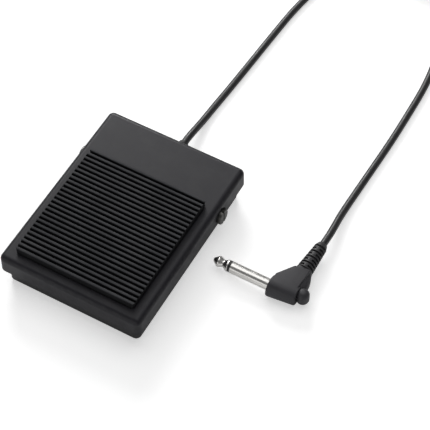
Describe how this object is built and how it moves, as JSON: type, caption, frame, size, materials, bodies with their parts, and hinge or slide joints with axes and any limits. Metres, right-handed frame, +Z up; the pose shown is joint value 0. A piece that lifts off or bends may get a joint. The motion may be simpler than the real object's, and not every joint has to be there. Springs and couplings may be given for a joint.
{
  "type": "foot pedal switch",
  "caption": "Flat foot switch: a rocking treadle with a ribbed rubber mat over a low base tray, with a cord to a right-angle 6.35 mm plug.",
  "frame": {"origin": "on the floor, under the middle of the treadle", "axes": "+X to the right across the pedal, +Y to the rear where the cord leaves, +Z up"},
  "size_m": [0.1453, 0.3447, 0.0263],
  "materials": {
    "black_plastic": "fine matte texture",
    "mat_rubber": "matte",
    "black_rubber": "matte",
    "spring_steel": "drawn",
    "plated_steel": "zinc plated",
    "board_green": "solder mask",
    "switch_black": "moulded",
    "switch_grey": "moulded",
    "plunger_red": "moulded",
    "clamp_plastic": "moulded",
    "cord_black": "satin jacket",
    "wire_white": "satin",
    "wire_red": "satin",
    "nickel": "bright nickel plate",
    "moulded_black": "fine matte texture",
    "black_steel": "blackened",
    "bush_nylon": "moulded",
    "insert_brass": "turned"
  },
  "bodies": {
    "base": {"base_tray": "black_plastic", "rubber_feet": "black_rubber", "front_stop_pads": "black_rubber", "rear_stop_pads": "black_rubber", "return_spring": "spring_steel", "circuit_board": "board_green", "board_screws": "plated_steel", "switch_case": "switch_black", "switch_lid": "switch_grey", "switch_terminals": "plated_steel", "cord_clamp": "clamp_plastic", "clamp_screws": "plated_steel", "cord_bushing": "cord_black", "cord_tail": "cord_black", "signal_wire": "wire_white", "ground_wire": "wire_red", "cord_pedal_run": "cord_black", "cord_coil": "cord_black", "cord_plug_run": "cord_black", "plug_tip": "nickel", "plug_insulator": "switch_black", "plug_sleeve": "nickel", "plug_body": "moulded_black", "plug_strain_relief": "moulded_black", "pivot_bush_right": "bush_nylon", "pivot_bush_left": "bush_nylon"},
    "treadle": {"treadle_cover": "black_plastic", "tread_mat": "mat_rubber", "pivot_screw_right": "black_steel", "pivot_screw_left": "black_steel", "pivot_washer_right": "plated_steel", "pivot_washer_left": "plated_steel", "pivot_insert_right": "insert_brass", "pivot_insert_left": "insert_brass"},
    "lever": {"switch_lever": "spring_steel"},
    "plunger": {"switch_plunger": "plunger_red"}
  },
  "joints": [
    {"name": "treadle_rock", "type": "hinge", "parent": "base", "child": "treadle", "pos_m": [0, 0.0273, 0.0132], "axis": [1, 0, 0], "range_deg": [0, 3.5], "stiffness_Nm_per_rad": 8, "springref_deg": -3.44, "deforming": ["return_spring"]},
    {"name": "lever_turn", "type": "hinge", "parent": "base", "child": "lever", "pos_m": [0.017, 0.0026, 0.01518], "axis": [1, 0, 0], "range_deg": [0, 11]},
    {"name": "plunger_press", "type": "slide", "parent": "base", "child": "plunger", "axis": [0, 0, -1], "range_m": [0, 0.0007]}
  ],
  "couplings": [
    {"joint": "lever_turn", "follows": "treadle_rock", "ratio": 2.865},
    {"joint": "plunger_press", "follows": "treadle_rock", "m_per_rad": 0.0103}
  ]
}
